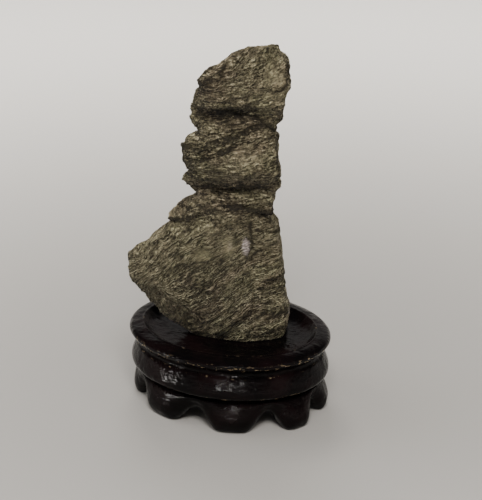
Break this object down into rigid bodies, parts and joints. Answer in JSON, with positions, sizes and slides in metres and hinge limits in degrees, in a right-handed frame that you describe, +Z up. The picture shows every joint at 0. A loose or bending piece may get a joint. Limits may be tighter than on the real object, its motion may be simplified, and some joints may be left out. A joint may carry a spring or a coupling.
{
  "type": "scholars rock",
  "caption": "Upright layered scholar's rock, notched at neck and waist over a wedge base, resting in an oval carved lacquered stand with lobed feet.",
  "frame": {"origin": "on the surface it stands on, under the middle of the oval stand", "axes": "+X along the stand's long side towards the stone's straight end, -Y the stand's front, +Z up"},
  "size_m": [0.1156, 0.0884, 0.2043],
  "materials": {
    "stone": "rough layered grey-brown stone",
    "lacquered_wood": "glossy black-brown lacquer with a reddish undertone"
  },
  "bodies": {
    "root": {"stone": "stone", "stand": "lacquered_wood"}
  },
  "joints": []
}
